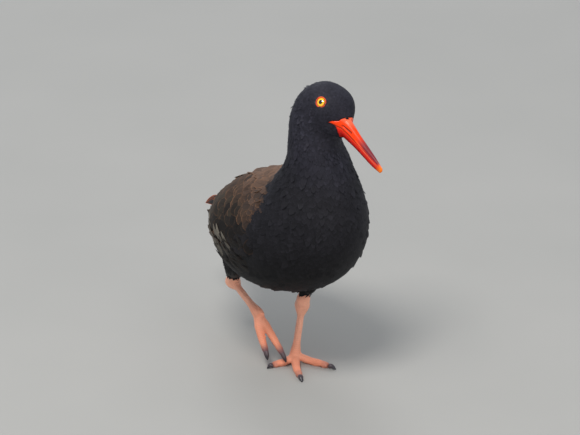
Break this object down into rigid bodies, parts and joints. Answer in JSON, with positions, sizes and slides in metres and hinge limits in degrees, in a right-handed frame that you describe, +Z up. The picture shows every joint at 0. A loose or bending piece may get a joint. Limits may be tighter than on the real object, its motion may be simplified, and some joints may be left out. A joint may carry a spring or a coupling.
{
  "type": "oystercatcher",
  "caption": "Life-size still model of a dark oystercatcher in mid stride, standing on its left foot with the right foot lifted and the head turned",
  "frame": {"origin": "on the ground, under the pad where the toes of the standing left foot meet", "axes": "+Z up; the bird faces -Y, and its left side is +X; millimetres in the source, metres in the row"},
  "size_m": [0.119, 0.2969, 0.2882],
  "materials": {
    "dark_plumage": "matte slate-black feathers with a bluish cast on head, neck and breast",
    "brown_plumage": "soft brown feathers with paler warm edges on back, wings and tail",
    "leg_skin": "pale flesh-pink scaled skin, more orange on the toes",
    "claw_horn": "smooth blackish horn",
    "bill_horn": "smooth orange-red horn, dusky towards the end of the upper edge and yellow-orange at the tip",
    "eye": "wet glossy eye, yellow iris and black pupil",
    "eye_skin": "fleshy orange-red ring of bare skin"
  },
  "bodies": {
    "root": {"bill_lower": "bill_horn", "bill_upper": "bill_horn", "claw_inner_left": "claw_horn", "claw_inner_right": "claw_horn", "claw_middle_left": "claw_horn", "claw_middle_right": "claw_horn", "claw_outer_left": "claw_horn", "claw_outer_right": "claw_horn", "eye_left": "eye", "eye_right": "eye", "eye_ring_left": "eye_skin", "eye_ring_right": "eye_skin", "head": "dark_plumage", "neck": "dark_plumage", "tail": "brown_plumage", "tarsus_left": "leg_skin", "tarsus_right": "leg_skin", "thigh_left": "dark_plumage", "thigh_right": "dark_plumage", "tibia_left": "leg_skin", "tibia_right": "leg_skin", "toe_inner_left": "leg_skin", "toe_inner_right": "leg_skin", "toe_middle_left": "leg_skin", "toe_middle_right": "leg_skin", "toe_outer_left": "leg_skin", "toe_outer_right": "leg_skin", "trunk": "dark_plumage", "wing_left": "brown_plumage", "wing_right": "brown_plumage", "wing_tip_left": "brown_plumage", "wing_tip_right": "brown_plumage"}
  },
  "joints": []
}
